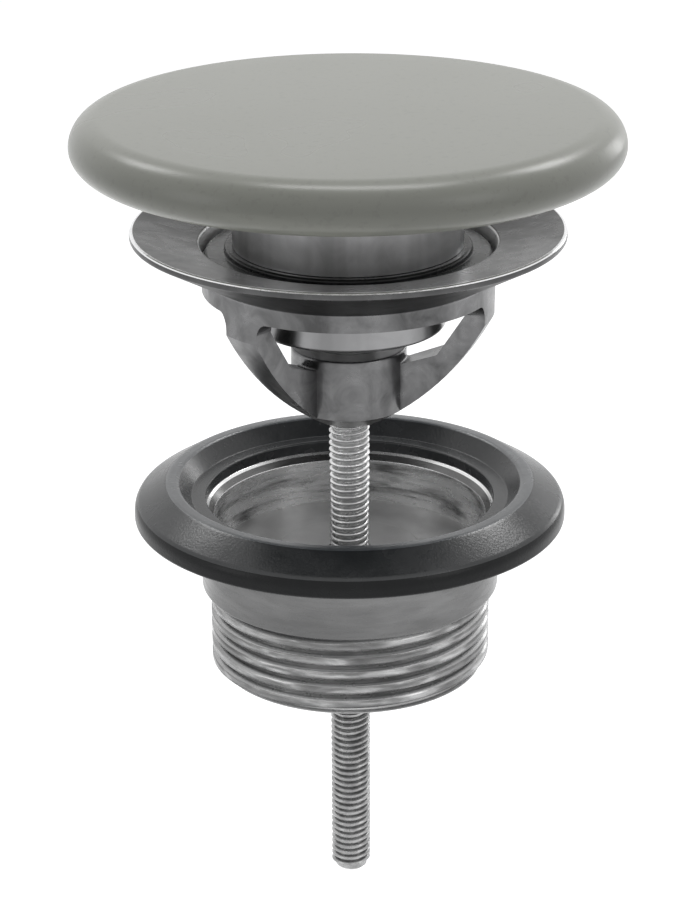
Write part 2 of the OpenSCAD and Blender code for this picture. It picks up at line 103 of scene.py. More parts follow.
def face_outwards(bm):
    if bm.calc_volume(signed=True) < 0:
        bmesh.ops.reverse_faces(bm, faces=bm.faces)


def from_bmesh(name, bm):
    face_outwards(bm)
    mesh = bpy.data.meshes.new(name)
    bm.to_mesh(mesh)
    bm.free()
    mesh.shade_smooth()
    mesh.set_sharp_from_angle(angle=SHARP_ANGLE)
    return make_object(name, mesh)


def rounded(points, steps=4, guard=0.05):
    """Points are (r, z) or (r, z, fillet); each fillet becomes an arc with a guard point on both sides."""
    count = len(points)
    out = []
    for i, p in enumerate(points):
        fillet = p[2] if len(p) > 2 else 0
        if not fillet:
            out.append(Vector(p[:2]))
            continue
        here = Vector(p[:2])
        back = Vector(points[i - 1][:2]) - here
        ahead = Vector(points[(i + 1) % count][:2]) - here
        u, v = back.normalized(), ahead.normalized()
        half = u.angle(v) / 2
        reach = min(fillet / math.tan(half), back.length * 0.48, ahead.length * 0.48)
        radius = reach * math.tan(half)
        centre = here + (u + v).normalized() * radius / math.sin(half)
        first, last = here + u * reach - centre, here + v * reach - centre
        if back.length * 0.5 > reach + guard:
            out.append(here + u * (reach + guard))
        sweep = first.angle_signed(last)
        for k in range(steps + 1):
            out.append(centre + Matrix.Rotation(-sweep * k / steps, 2) @ first)
        if ahead.length * 0.5 > reach + guard:
            out.append(here + v * (reach + guard))
    return out


def lathe_bmesh(profile, segments=160):
    """Turn a closed outline of (r, z) round the axis; points at r = 0 become poles."""
    bm = bmesh.new()
    rings = []
    for r, z in profile:
        if r < 1e-6:
            rings.append([bm.verts.new((0, 0, z * MM))])
        else:
            rings.append([bm.verts.new((r * MM * math.cos(TURN * i / segments),
                                        r * MM * math.sin(TURN * i / segments), z * MM))
                          for i in range(segments)])
    for k, ring in enumerate(rings):
        after = rings[(k + 1) % len(rings)]
        for i in range(segments):
            j = (i + 1) % segments
            corners = [ring[i % len(ring)], ring[j % len(ring)], after[j % len(after)], after[i % len(after)]]
            corners = list(dict.fromkeys(corners))
            if len(corners) > 2:
                bm.faces.new(corners)
    return bm


def lathe(name, points, segments=160):
    return from_bmesh(name, lathe_bmesh(rounded(points), segments))


def arc(cx, cz, w, h, a0, a1, steps):
    """Points of an elliptic arc with half axes w and h, from angle a0 to a1 in degrees."""
    span = [math.radians(a0 + (a1 - a0) * i / steps) for i in range(steps + 1)]
    return [(cx + w * math.cos(a), cz + h * math.sin(a)) for a in span]


def cut_from(obj, cutter_bm):
    """Take the cutter's solid out of the object, and leave a plain mesh."""
    face_outwards(cutter_bm)
    mesh = bpy.data.meshes.new("cutter")
    cutter_bm.to_mesh(mesh)
    cutter_bm.free()
    cutter = make_object("cutter", mesh)
    mod = obj.modifiers.new("cut", "BOOLEAN")
    mod.operation = "DIFFERENCE"
    mod.solver = "EXACT"
    mod.object = cutter
    bake(obj)
    bpy.data.objects.remove(cutter)


def bake(obj):
    """Turn the object's modifiers into its plain mesh."""
    graph = bpy.context.evaluated_depsgraph_get()
    mesh = bpy.data.meshes.new_from_object(obj.evaluated_get(graph), preserve_all_data_layers=True,
                                           depsgraph=graph)
    obj.modifiers.clear()
    obj.data = mesh


def soften_edges(obj, width, angle):
    """Bevel the edges that are sharper than the angle in degrees; the width is in millimetres."""
    mod = obj.modifiers.new("edges", "BEVEL")
    mod.width = width * MM
    mod.segments = 2
    mod.limit_method = "ANGLE"
    mod.angle_limit = math.radians(angle)
    mod.use_clamp_overlap = True
    mod.harden_normals = True
    obj.data.shade_smooth()
    bake(obj)


def prism(bm, outline, z0, z1):
    """Add a closed prism over an outline of (x, y) in millimetres; gives its lower and upper vertices."""
    low = [bm.verts.new((x * MM, y * MM, z0 * MM)) for x, y in outline]
    high = [bm.verts.new((x * MM, y * MM, z1 * MM)) for x, y in outline]
    bm.faces.new(low[::-1])
    bm.faces.new(high)
    count = len(outline)
    for i in range(count):
        j = (i + 1) % count
        bm.faces.new((low[i], low[j], high[j], high[i]))
    return low, high


# Node trees

def feed(tree, sock, value):
    """Link another node's output to the socket, or set the socket to a plain value."""
    if isinstance(value, bpy.types.NodeSocket):
        tree.links.new(value, sock)
    else:
        sock.default_value = value


def math_node(tree, operation, a, b):
    node = tree.nodes.new("ShaderNodeMath")
    node.operation = operation
    feed(tree, node.inputs[0], a)
    feed(tree, node.inputs[1], b)
    return node.outputs[0]


# Threads, by Geometry Nodes

def thread_tree():
    """A ridge swept along a right-handed helix; it rises from nothing at both of its ends."""
    tree = bpy.data.node_groups.new("thread_ridge", "GeometryNodeTree")
    face = tree.interface
    inputs = {}
    for name, kind, value in (("Root radius", "Float", 0.02), ("Height", "Float", 0.001),
                              ("Crest width", "Float", 0.0005), ("Root width", "Float", 0.002),
                              ("Turns", "Float", 5.0), ("Length", "Float", 0.01), ("Steps a turn", "Int", 64),
                              ("Run out", "Float", 0.02), ("Material", "Material", None)):
        sock = face.new_socket(name=name, in_out="INPUT", socket_type="NodeSocket" + kind)
        if value is not None:
            sock.default_value = value
        inputs[name] = sock.identifier
    face.new_socket(name="Geometry", in_out="OUTPUT", socket_type="NodeSocketGeometry")
    nodes, link = tree.nodes, tree.links.new
    given = nodes.new("NodeGroupInput")
    result = nodes.new("NodeGroupOutput")

    spiral = nodes.new("GeometryNodeCurveSpiral")
    for source, target in (("Steps a turn", "Resolution"), ("Turns", "Rotations"), ("Length", "Height"),
                           ("Root radius", "Start Radius"), ("Root radius", "End Radius")):
        link(given.outputs[source], spiral.inputs[target])
    spiral.inputs["Reverse"].default_value = True
    up = nodes.new("GeometryNodeSetCurveNormal")
    up.mode = "Z_UP"
    link(spiral.outputs["Curve"], up.inputs["Curve"])
    along = nodes.new("GeometryNodeSplineParameter").outputs["Factor"]
    from_end = math_node(tree, "MINIMUM", along, math_node(tree, "SUBTRACT", 1.0, along))
    ramp = math_node(tree, "ADD", math_node(tree, "DIVIDE", from_end, given.outputs["Run out"]), 0.02)
    rise = math_node(tree, "MINIMUM", ramp, 1.0)

    # The profile's foot lies in the core, so that no gap shows under the ridge
    points = nodes.new("GeometryNodeCurvePrimitiveQuadrilateral")
    points.mode = "POINTS"
    crest = given.outputs["Height"]
    foot = math_node(tree, "MULTIPLY", crest, -0.12)
    for k, (height, width, side) in enumerate(((foot, "Root width", 0.5), (crest, "Crest width", 0.5),
                                               (crest, "Crest width", -0.5), (foot, "Root width", -0.5))):
        corner = nodes.new("ShaderNodeCombineXYZ")
        link(height, corner.inputs["X"])
        link(math_node(tree, "MULTIPLY", given.outputs[width], side), corner.inputs["Y"])
        link(corner.outputs[0], points.inputs[f"Point {k + 1}"])
    sweep = nodes.new("GeometryNodeCurveToMesh")
    link(up.outputs["Curve"], sweep.inputs["Curve"])
    link(points.outputs["Curve"], sweep.inputs["Profile Curve"])
    link(rise, sweep.inputs["Scale"])
    sweep.inputs["Fill Caps"].default_value = True
    real = nodes.new("GeometryNodeRealizeInstances")
    link(sweep.outputs["Mesh"], real.inputs[0])
    coat = nodes.new("GeometryNodeSetMaterial")
    link(real.outputs[0], coat.inputs["Geometry"])
    link(given.outputs["Material"], coat.inputs["Material"])
    link(coat.outputs[0], result.inputs[0])
    return tree, inputs


def thread(name, tree, inputs, low_z, **values):
    """The thread's ridge as a plain mesh; the values are the tree's inputs, lengths in metres."""
    obj = make_object(name, bpy.data.meshes.new(name))
    mod = obj.modifiers.new("thread", "NODES")
    mod.node_group = tree
    for key, value in values.items():
        mod[inputs[key.replace("_", " ")]] = value
    bake(obj)
    obj.data.transform(Matrix.Translation((0, 0, low_z * MM)))
    bm = bmesh.new()
    bm.from_mesh(obj.data)
    face_outwards(bm)
    bm.to_mesh(obj.data)
    bm.free()
    return obj


# Materials

class Paint:
    """One procedural material on object coordinates."""

    def __init__(self, name):
        self.mat = bpy.data.materials.new(name)
        self.mat.use_nodes = True
        self.tree = self.mat.node_tree
        self.nodes = self.tree.nodes
        self.link = self.tree.links.new
        self.shader = self.nodes["Principled BSDF"]
        self.coord = self.nodes.new("ShaderNodeTexCoord").outputs["Object"]

    def set(self, **values):
        for key, value in values.items():
            feed(self.tree, self.shader.inputs[key.replace("_", " ")], value)
        return self.mat

    def stretch(self, x, y, z):
        node = self.nodes.new("ShaderNodeMapping")
        node.inputs["Scale"].default_value = (x, y, z)
        self.link(self.coord, node.inputs["Vector"])
        return node.outputs[0]

    def noise(self, scale, detail=3.0, rough=0.5, warp=0.0, vector=None):
        node = self.nodes.new("ShaderNodeTexNoise")
        self.link(vector or self.coord, node.inputs["Vector"])
        for key, value in (("Scale", scale), ("Detail", detail), ("Roughness", rough), ("Distortion", warp)):
            node.inputs[key].default_value = value
        return node.outputs["Fac"]

    def ramp(self, fac, stops):
        """Stops are (position, tone), where a tone is a grey or three colour values."""
        node = self.nodes.new("ShaderNodeValToRGB")
        self.link(fac, node.inputs[0])
        marks = node.color_ramp.elements
        while len(marks) < len(stops):
            marks.new(0.5)
        for mark, (at, tone) in zip(marks, stops):
            mark.position = at
            mark.color = (*tone, 1) if isinstance(tone, tuple) else (tone, tone, tone, 1)
        return node.outputs[0]

    def height(self, low, high):
        """0 at the lower height and 1 at the upper one, in metres of the object."""
        split = self.nodes.new("ShaderNodeSeparateXYZ")
        self.link(self.coord, split.inputs[0])
        span = self.nodes.new("ShaderNodeMapRange")
        span.inputs["From Min"].default_value, span.inputs["From Max"].default_value = low, high
        self.link(split.outputs["Z"], span.inputs["Value"])
        return span.outputs["Result"]

    def mix(self, kind, fac, a, b):
        node = self.nodes.new("ShaderNodeMix")
        node.data_type = "RGBA"
        node.blend_type = kind
        for k, value in ((0, fac), (6, a), (7, b)):
            feed(self.tree, node.inputs[k], value)
        return node.outputs[2]

    def bump(self, height, strength, distance, normal=None):
        node = self.nodes.new("ShaderNodeBump")
        node.inputs["Strength"].default_value = strength
        node.inputs["Distance"].default_value = distance
        self.link(height, node.inputs["Height"])
        if normal is not None:
            self.link(normal, node.inputs["Normal"])
        return node.outputs[0]


def glaze():
    """Semi-gloss olive grey glaze with faint clouds and fine dark specks."""
    p = Paint("olive_grey_glaze")
    cloud = p.noise(28, 2, 0.5)
    speck = p.noise(900, 2, 0.6)
    tone = p.ramp(cloud, [(0.3, (0.305, 0.31, 0.27)), (0.7, (0.322, 0.326, 0.288))])
    tone = p.mix("MULTIPLY", 0.25, tone, p.ramp(speck, [(0.33, 0.7), (0.42, 1.0)]))
    wave = p.bump(p.noise(55, 1, 0.4), 0.05, 0.0008)
    return p.set(Base_Color=tone, Roughness=p.ramp(cloud, [(0.3, 0.26), (0.7, 0.32)]), IOR=1.46,
                 Coat_Weight=0.1, Coat_Roughness=0.22, Normal=wave)


def satin(name, light=0.28, dark=0.19, rough=(0.24, 0.36), streak=0.12, even=0.6, dent=0.12,
          metal=1.0):
    """Satin plate with soft streaks along the axis and fine handling marks.

    A low streak draws the streaks out, even is their share against the marks, and dent is the marks' depth.
    """
    p = Paint(name)
    bands = p.noise(95, 3, 0.55, 0.4, p.stretch(1, 1, streak))
    blotch = p.noise(240, 4, 0.6, 0.8)
    both = math_node(p.tree, "ADD", math_node(p.tree, "MULTIPLY", bands, even),
                     math_node(p.tree, "MULTIPLY", blotch, 1 - even))
    tone = p.ramp(both, [(0.36, (dark, dark, dark * 1.01)), (0.62, (light, light, light * 1.01))])
    grain = p.bump(p.noise(1500, 2, 0.5), dent, 0.0001)
    dents = p.bump(blotch, dent, 0.0003, grain)
    gloss = p.ramp(both, [(0.35, rough[1]), (0.65, rough[0])])
    return p.set(Base_Color=tone, Metallic=metal, Roughness=gloss, Normal=dents)


def cast_chrome(name, tones, swirl=0.2, metal=1.0, scale=110):
    """Bright plate over a cast surface: streaked round the axis, with shallow dimples."""
    p = Paint(name)
    blotch = p.noise(scale, 3, 0.5, 0.3, p.stretch(0.45, 0.45, 2.2))
    fine = p.noise(620, 3, 0.6, 0.3, p.stretch(0.35, 0.35, 2.0))
    tone = p.ramp(blotch, [(0.32, tones[0]), (0.5, tones[1]), (0.68, tones[2])])
    tone = p.mix("MULTIPLY", 0.4, tone, p.ramp(fine, [(0.3, 0.75), (0.6, 1.0)]))
    dents = p.bump(blotch, swirl, 0.0005, p.bump(fine, swirl, 0.0002))
    gloss = p.ramp(fine, [(0.3, 0.34), (0.7, 0.18)])
    return p.set(Base_Color=tone, Metallic=metal, Roughness=gloss, Normal=dents)


def lit_shade_plate(name, tone):
    """Plate that lies in the shade of its neighbours, with painted light: its tone is lifted and half of its
    light is scattered.
    """
    p = Paint(name)
    cloud = p.noise(150, 3, 0.5, 0.3)
    return p.set(Base_Color=p.ramp(cloud, [(0.35, tone * 0.85), (0.65, tone * 1.1)]), Metallic=0.45,
                 Roughness=p.ramp(cloud, [(0.3, 0.4), (0.7, 0.3)]))


def zinc(name, tone):
    """Bright zinc plate with painted light: it turns lighter from below the cup's floor up to the cup's rim.
    """
    p = Paint(name)
    spots = p.noise(520, 4, 0.6)
    colour = p.ramp(spots, [(0.35, tone * 0.7), (0.65, tone * 1.15)])
    # Painted light: the tone rises with height
    colour = p.mix("ADD", p.height(*ZINC_PAINTED_LIGHT), colour, (tone * 0.9, tone * 0.9, tone * 0.9, 1))
    return p.set(Base_Color=colour, Metallic=0.7, Roughness=p.ramp(spots, [(0.3, 0.36), (0.7, 0.2)]),
                 Normal=p.bump(p.noise(1800, 2, 0.5), 0.4, 0.00012))


def rubber(name, lift, level=0.55):
    """Moulded rubber with dusty blotches: lift sets the tone of its black, which the copies below raise for
    painted light and lower for painted shade, and level is its sheen.
    """
    p = Paint(name)
    dust = p.noise(130, 4, 0.6, 0.4)
    pores = p.noise(2600, 2, 0.6)
    tone = p.ramp(dust, [(0.35, (0.006 * lift, 0.0065 * lift, 0.007 * lift)),
                         (0.7, (0.012 * lift, 0.0125 * lift, 0.013 * lift))])
    return p.set(Base_Color=tone, Roughness=p.ramp(dust, [(0.3, 0.22), (0.7, 0.30)]), IOR=1.5,
                 Specular_IOR_Level=level, Normal=p.bump(pores, 0.2, 0.00012))


def plastic(name, tone, rough=0.42):
    """Matt moulding or foam of one colour."""
    p = Paint(name)
    cloud = p.noise(180, 2, 0.5)
    colour = p.ramp(cloud, [(0.3, tuple(c * 0.94 for c in tone)), (0.7, tone)])
    return p.set(Base_Color=colour, Roughness=p.ramp(cloud, [(0.3, rough), (0.7, rough + 0.08)]), IOR=1.47,
                 Normal=p.bump(p.noise(2200, 1, 0.5), 0.08, 0.0001))


def brass():
    """Brass with fine turning rings round the axis."""
    p = Paint("turned_brass")
    rings = p.noise(700, 2, 0.5, 0, p.stretch(0.15, 0.15, 1))
    colour = p.ramp(rings, [(0.3, (0.50, 0.34, 0.13)), (0.7, (0.66, 0.48, 0.21))])
    return p.set(Base_Color=colour, Metallic=1.0, Roughness=p.ramp(rings, [(0.3, 0.32), (0.7, 0.24)]))


GLAZE = glaze()
SATIN = satin("satin_chrome", 0.215, 0.08)
# Painted light: a much lighter copy of the satin plate for the collar, which lies in the cap's shade; its
# fine turned streaks are its own
SATIN_TURNED_LIT = satin("satin_chrome_turned_lit", 0.97, 0.42, (0.26, 0.38), 0.05, 0.85, 0.0)
SATIN_HOUSING = satin("satin_chrome_housing", 0.36, 0.22, (0.24, 0.34), 0.05, 0.85, 0.02)
# Painted shade: a near-black copy of the satin plate for the flange's underside
SATIN_SEAT_SHADE = satin("satin_chrome_seat_shade", 0.022, 0.012, (0.4, 0.5))
# Painted highlight: a near-white copy of the satin plate along the rim's top edge
EDGE_HIGHLIGHT = satin("satin_chrome_edge_highlight", 0.9, 0.8, (0.15, 0.2))
# Painted shade: a darker copy of the satin plate for the flange's top
SATIN_TOP_SHADE = satin("satin_chrome_top_shade", 0.115, 0.07, (0.24, 0.34), 0.5)
CAST = cast_chrome("cast_chrome", (0.14, 0.165, 0.2), 0.12)
# Painted light: a lighter, less metallic copy of the cast plate for the thread's flanks and roots, where the
# grooves shade them; the crests keep a darker plate
CAST_THREAD_LIT = cast_chrome("cast_chrome_thread_lit", (0.36, 0.48, 0.66), 0.25, 0.6)
CAST_CREST = cast_chrome("cast_chrome_crest", (0.13, 0.22, 0.5), 0.2, 1.0, 320)
# Painted light: a much lighter copy of the cast plate for the inside of the cup
CAST_CUP_LIT = cast_chrome("cast_chrome_cup_lit", (0.25, 0.9, 1.0), 0.3, 0.75, 230)
# Painted highlight: a near-white copy of the cast plate for the cup's lip
CAST_RIM_HIGHLIGHT = cast_chrome("cast_chrome_rim_highlight", (0.8, 0.9, 1.0), 0.02)
# Painted light: lighter, half-scattering copies for the cup's floor, the hub's top, the latch stem and the
# recess wall, which lie in shade
CAST_FLOOR_LIT = lit_shade_plate("cast_chrome_floor_lit", 0.31)
LIT_SHADE = lit_shade_plate("satin_chrome_lit_shade", 0.4)
RECESS_LIT = lit_shade_plate("satin_chrome_recess_lit", 0.85)
# Both zinc finishes carry the painted light that rises with height
ZINC = zinc("zinc_plate", 0.46)
STEEL = zinc("spring_steel", 0.3)
RUBBER = rubber("black_rubber", 5)
# Painted light: a lighter copy of the rubber for the seal's brim, which lies in the cap's shade
RUBBER_BRIM_LIT = rubber("black_rubber_brim_lit", 12)
# Painted shade: a darker copy of the rubber for the seal's boss
RUBBER_BEAD_SHADE = rubber("black_rubber_bead_shade", 1.5, 0.3)
# Painted highlight: a much lighter copy of the rubber for the ridge's top
RUBBER_RIDGE_HIGHLIGHT = rubber("black_rubber_ridge_highlight", 20, 1.0)
# Painted shade: a darker copy of the rubber for the ring's outer wall
RUBBER_WALL_SHADE = rubber("black_rubber_wall_shade", 1.6, 0.2)
WHITE_PLASTIC = plastic("white_moulding", (0.78, 0.78, 0.75))
ADHESIVE = plastic("foam_adhesive", (0.72, 0.72, 0.69), 0.6)
BRASS = brass()


def recoat(obj, mat, where):
    """Give another finish to the faces whose radius and height in millimetres pass the test.

    The small numbers in the tests are margins, which leave a fillet out or take it in.
    """
    obj.data.materials.append(mat)
    for face in obj.data.polygons:
        x, y, z = face.center
        if where(math.hypot(x, y) / MM, z / MM):
            face.material_index = len(obj.data.materials) - 1


def finish(obj, mat, body, slot, *nodes):
    """Give the piece its finish and its body, and name the CAD nodes that it replaces, which it hides; the
    slot is not used.
    """
    obj.data.materials.clear()
    obj.data.materials.append(mat)
    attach(obj, body)
    if nodes:
        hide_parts(*nodes)


# Glazed cap

def cap():
    mid = CAP_Z + CAP_UNDER[1]
    flat_r = CAP_R - CAP_OVER[0]
    pocket_r, pocket_z = COLLAR_R + POCKET_GAP, CAP_Z + POCKET_DEPTH
    under = arc(CAP_R - CAP_UNDER[0], mid, *CAP_UNDER, -90, 0, 18)
    over = arc(flat_r, mid, *CAP_OVER, 0, 90, 22)[1:]
    crown = [(r, CAP_Z + CAP_T - CAP_CROWN * (r / flat_r) ** 2) for r in (30, 24, 16, 8, 0)]
    outline = [(0, pocket_z), (pocket_r, pocket_z, 0.3), (pocket_r, CAP_Z, 0.25)] + under + over + crown
    return lathe("glazed_cap", outline, segments=220)


finish(cap(), GLAZE, "plug", "glaze", "ceramic_cap")


# Collar and seal

def collar():
    return lathe("turned_collar", [
        (SPIGOT_R, BOSS_Z), (COLLAR_R, BOSS_Z, 0.12), (COLLAR_R, COLLAR_Z, 0.35), (0, COLLAR_Z),
        (0, SPRING_ROOM_TOP), (SPRING_ROOM_R, SPRING_ROOM_TOP), (SPRING_ROOM_R, SPIGOT_TOP),
        (SPIGOT_R, SPIGOT_TOP)])


def seal():
    top = BRIM_Z + BRIM_T
    return lathe("plug_seal_moulding", [
        (SPIGOT_R, BRIM_Z), (BRIM_R, BRIM_Z, 0.3), (BRIM_R, top, 0.45),
        (BOSS_R, top, 0.2), (BOSS_R, BOSS_Z, 0.8), (SPIGOT_R, BOSS_Z)])


# The collar's light tone is painted light
finish(collar(), SATIN_TURNED_LIT, "plug", "satin_chrome", "plug_collar")
brim = seal()
finish(brim, RUBBER, "plug", "black_rubber", "plug_seal")
# Painted light on the brim
recoat(brim, RUBBER_BRIM_LIT, lambda r, z: r > BOSS_R + 0.1 and z > BRIM_Z + 0.5)
# Painted shade on the boss
recoat(brim, RUBBER_BEAD_SHADE, lambda r, z: r < BOSS_R + 0.1 and z > BRIM_Z + 0.5)


# Strainer casting

def bowl_arc(steps=14):
    """The bowl's outer side, an arc through the wall's foot and the hub's side, carried on to its bottom."""
    rim, foot = Vector((NECK_R, -WALL_H)), Vector((HUB_R, -(HUB_BOTTOM - BOWL_FOOT)))
    chord = foot - rim
    normal = Vector((chord.y, -chord.x)) / chord.length
    centre = (rim + foot) / 2 + normal * math.sqrt(BOWL_ARC_R ** 2 - (chord.length / 2) ** 2)
    out = []
    for i in range(steps + 1):
        z = -WALL_H + (-HUB_BOTTOM + WALL_H) * i / steps
        out.append((centre.x + math.sqrt(BOWL_ARC_R ** 2 - (z - centre.y) ** 2), z))
    return out


def strainer():
    bowl = bowl_arc()
    outline = [
        (NECK_R, 0, 0.5), (FLANGE_R, SEAT_H, 0.3), (FLANGE_R, RIM_Z, 0.45), (DISH_R, DISH_Z, 0.4),
        (RECESS_R, BRIM_Z, 0.15), (NECK_BORE_R, BRIM_Z, 0.3), (NECK_BORE_R, NECK_BORE_Z, 0.5),
        (*BOWL_INSIDE, 0.6), (HUB_R, -HUB_TOP - ARM_SHOULDER, 0.3), (HUB_R, -HUB_TOP, 0.4),
        (FOOT_R, -HUB_TOP, 0.3), (FOOT_R, -HEAD_SEAT), (HOLE_R, -HEAD_SEAT), (HOLE_R, -HUB_BOTTOM, 0.2)]
    outline += [(*bowl[-1], 0.6)] + bowl[-2:0:-1] + [(NECK_R, -WALL_H)]
    obj = lathe("strainer_casting", outline, segments=168)
    cut_from(obj, windows())
    soften_edges(obj, 0.2, angle=24)
    return obj


def windows():
    """The three spaces between the arms: prisms with their upper corners rounded."""
    bm = bmesh.new()
    flare = (ARM_NECK - ARM_HUB) / 2 / (NECK_R - HUB_R)
    root = ARM_HUB / 2 - flare * HUB_R
    step = TURN / ARM_COUNT
    far = 40
    reach = HUB_R + 0.02

    def side(turn, sign, r):
        """A point at about radius r on one side of the arm at the angle turn."""
        along = math.sqrt(max(r * r - (root + flare * r) ** 2, 0))
        across = sign * (root + flare * along)
        return (along * math.cos(turn) - across * math.sin(turn),
                along * math.sin(turn) + across * math.cos(turn))

    edges = []
    for k in range(ARM_COUNT):
        a0, a1 = ARM_TURN + k * step, ARM_TURN + (k + 1) * step
        start, end = side(a0, 1, reach), side(a1, -1, reach)
        w0, w1 = math.atan2(start[1], start[0]), math.atan2(end[1], end[0])
        if w1 < w0:
            w1 += TURN
        inner = arc(0, 0, reach, reach, math.degrees(w1), math.degrees(w0), 14)
        outline = [side(a0, 1, far), side(a1, -1, far)] + inner
        low, high = prism(bm, outline, -HUB_BOTTOM - 4, -NECK_H)
        for pair in ((high[0], high[-1]), (high[1], high[2])):
            edges.append(bm.edges.get(pair))
    bmesh.ops.bevel(bm, geom=edges, offset=CORNER_R * MM, segments=6, profile=0.5, affect="EDGES")
    return bm


casting = strainer()
finish(casting, SATIN, "strainer", "satin_chrome", "flange_body")
# Painted shade on the flange's top
recoat(casting, SATIN_TOP_SHADE, lambda r, z: r > RECESS_R + 0.4 and z > DISH_Z - 0.2 and z < RIM_Z - 0.02)
# Painted shade under the flange
recoat(casting, SATIN_SEAT_SHADE, lambda r, z: r > NECK_R + 0.5 and 0.2 < z < SEAT_H - 0.1)
# Painted light on the recess wall
recoat(casting, RECESS_LIT,
       lambda r, z: RECESS_R - 0.1 < r < RECESS_R + 0.5 and BRIM_Z + 0.2 < z < DISH_Z + 0.1)
# Painted highlight on the rim's top edge
recoat(casting, EDGE_HIGHLIGHT, lambda r, z: r > FLANGE_R - 0.5 and z > RIM_Z - 0.4)
# Painted light on the hub's shaded top
recoat(casting, LIT_SHADE, lambda r, z: r < HUB_R - 0.3 and -HUB_TOP - 0.5 < z < -HUB_TOP + 0.1)


# Rubber ring under the basin

def gasket():
    socket = SKIRT_R + SOCKET_GAP
    groove, groove_z = (socket + GASKET_R) / 2, GASKET_Z + GROOVE_DEPTH
    foot = Vector((GASKET_R - CONE_SHOULDER, CONE_Z))
    slope = (GASKET_TOP - CONE_Z) / (foot.x - RIDGE_R)
    wall = Vector((GASKET_R, CONE_Z - CONE_DROP))
    knee = Vector((GASKET_R, CONE_Z - slope * CONE_SHOULDER))
    shoulder = [wall.lerp(knee, t / 12).lerp(knee.lerp(foot, t / 12), t / 12) for t in range(13)]
    return lathe("under_basin_ring", [
        (socket, GASKET_Z, 0.15), (groove - GROOVE_MOUTH, GASKET_Z, 0.2),
        (groove - GROOVE_FLOOR, groove_z, 0.2), (groove + GROOVE_FLOOR, groove_z, 0.2),
        (groove + GROOVE_MOUTH, GASKET_Z, 0.2), (GASKET_R, GASKET_Z, 0.45), *shoulder,
        (RIDGE_R, GASKET_TOP, 1.6), (RIDGE_R - RIDGE_W, GASKET_TOP, 0.7), (LEDGE_R, LEDGE_Z, 0.3),
        (GASKET_BORE, LEDGE_Z, 0.3), (GASKET_BORE, TAIL_TOP), (socket, TAIL_TOP)], segments=200)


ring = gasket()
finish(ring, RUBBER, "tail", "black_rubber", "under_gasket")
# Painted shade on the outer wall
recoat(ring, RUBBER_WALL_SHADE, lambda r, z: r > GASKET_R - 0.4 and z < CONE_Z - 0.2)
# Painted highlight on the ridge's top
recoat(ring, RUBBER_RIDGE_HIGHLIGHT,
       lambda r, z: RIDGE_R - RIDGE_W - 0.2 < r < RIDGE_R + 0.2 and z > GASKET_TOP - 0.22)


# Tail casting with its pipe thread

def tail():
    under = WEB_Z - WEB_T
    nut_z = under - NUT_H
    step_z = WEB_Z + STEP_H
    obj = lathe("tail_casting", [
        (HOLE_R, step_z), (STEP_R, step_z, 0.3), (STEP_FOOT_R, WEB_Z, 0.3), (CUP_R, WEB_Z),
        (CUP_R, TAIL_TOP - LEAD_IN_H, 0.1), (LEAD_IN_BEND[0], TAIL_TOP - LEAD_IN_BEND[1]),
        (LEAD_IN_R, TAIL_TOP, 0.1), (SKIRT_R, TAIL_TOP, 0.2), (SKIRT_R, SKIRT_Z, 0.35),
        (THREAD_ROOT, SKIRT_Z, 0.2), (THREAD_ROOT, TAIL_Z + END_LAND_H), (END_LAND_R, TAIL_Z, 0.25),
        (TAIL_BORE, TAIL_Z, 0.35), (TAIL_BORE, under, 0.6), (NUT_BOSS_R, under, 0.5),
        (NUT_BOSS_R, nut_z, 0.4), (HOLE_R, nut_z)], segments=200)
    bm = bmesh.new()
    for turn in (0, 180):
        a0, a1 = turn - DRAIN_HALF_ANGLE, turn + DRAIN_HALF_ANGLE
        outline = arc(0, 0, DRAIN_R, DRAIN_R, a0, a1, 20)
        outline += arc(0, 0, DRAIN_INNER_R, DRAIN_INNER_R, a1, a0, 20)
        prism(bm, outline, under - 1, WEB_Z + 1)
    prism(bm, arc(0, 0, NUT_CORNER_R, NUT_CORNER_R, 0, 300, 5), nut_z - 1, under)
    cut_from(obj, bm)
    obj.data.shade_smooth()
    obj.data.set_sharp_from_angle(angle=SHARP_ANGLE)
    return obj


tail_casting = tail()
finish(tail_casting, CAST, "tail", "cast_chrome", "tail_body")
# Painted light in the thread's roots
recoat(tail_casting, CAST_THREAD_LIT, lambda r, z: r > TAIL_BORE + 1 and z < SKIRT_Z + 0.1)
# Painted light inside the cup
recoat(tail_casting, CAST_CUP_LIT, lambda r, z: r < CUP_R + 0.1 and z > WEB_Z - 0.1)
# Painted highlight on the cup's lip
recoat(tail_casting, CAST_RIM_HIGHLIGHT,
       lambda r, z: LEAD_IN_BEND[0] + 0.01 < r < LEAD_IN_R + 0.1 and z > TAIL_TOP - LEAD_IN_BEND[1] - 0.01)
# Painted light on the cup's floor
recoat(tail_casting, CAST_FLOOR_LIT, lambda r, z: r < CUP_R - 0.2 and WEB_Z - 0.1 < z < WEB_Z + 0.8)
tree, sockets = thread_tree()
# The thread's ridge takes the same painted light
pipe_thread = thread("pipe_thread", tree, sockets, TAIL_Z + PIPE_START, Root_radius=THREAD_ROOT * MM,
                     Height=(THREAD_R - THREAD_ROOT) * MM, Crest_width=1.1 * MM, Root_width=1.95 * MM,
                     Turns=PIPE_TURNS, Length=PIPE_TURNS * THREAD_PITCH * MM, Steps_a_turn=220,
                     Run_out=0.03, Material=CAST_THREAD_LIT)
finish(pipe_thread, CAST_THREAD_LIT, "tail", "cast_chrome")
recoat(pipe_thread, CAST_CREST, lambda r, z: r > THREAD_R - 0.1)


# Clamp screw

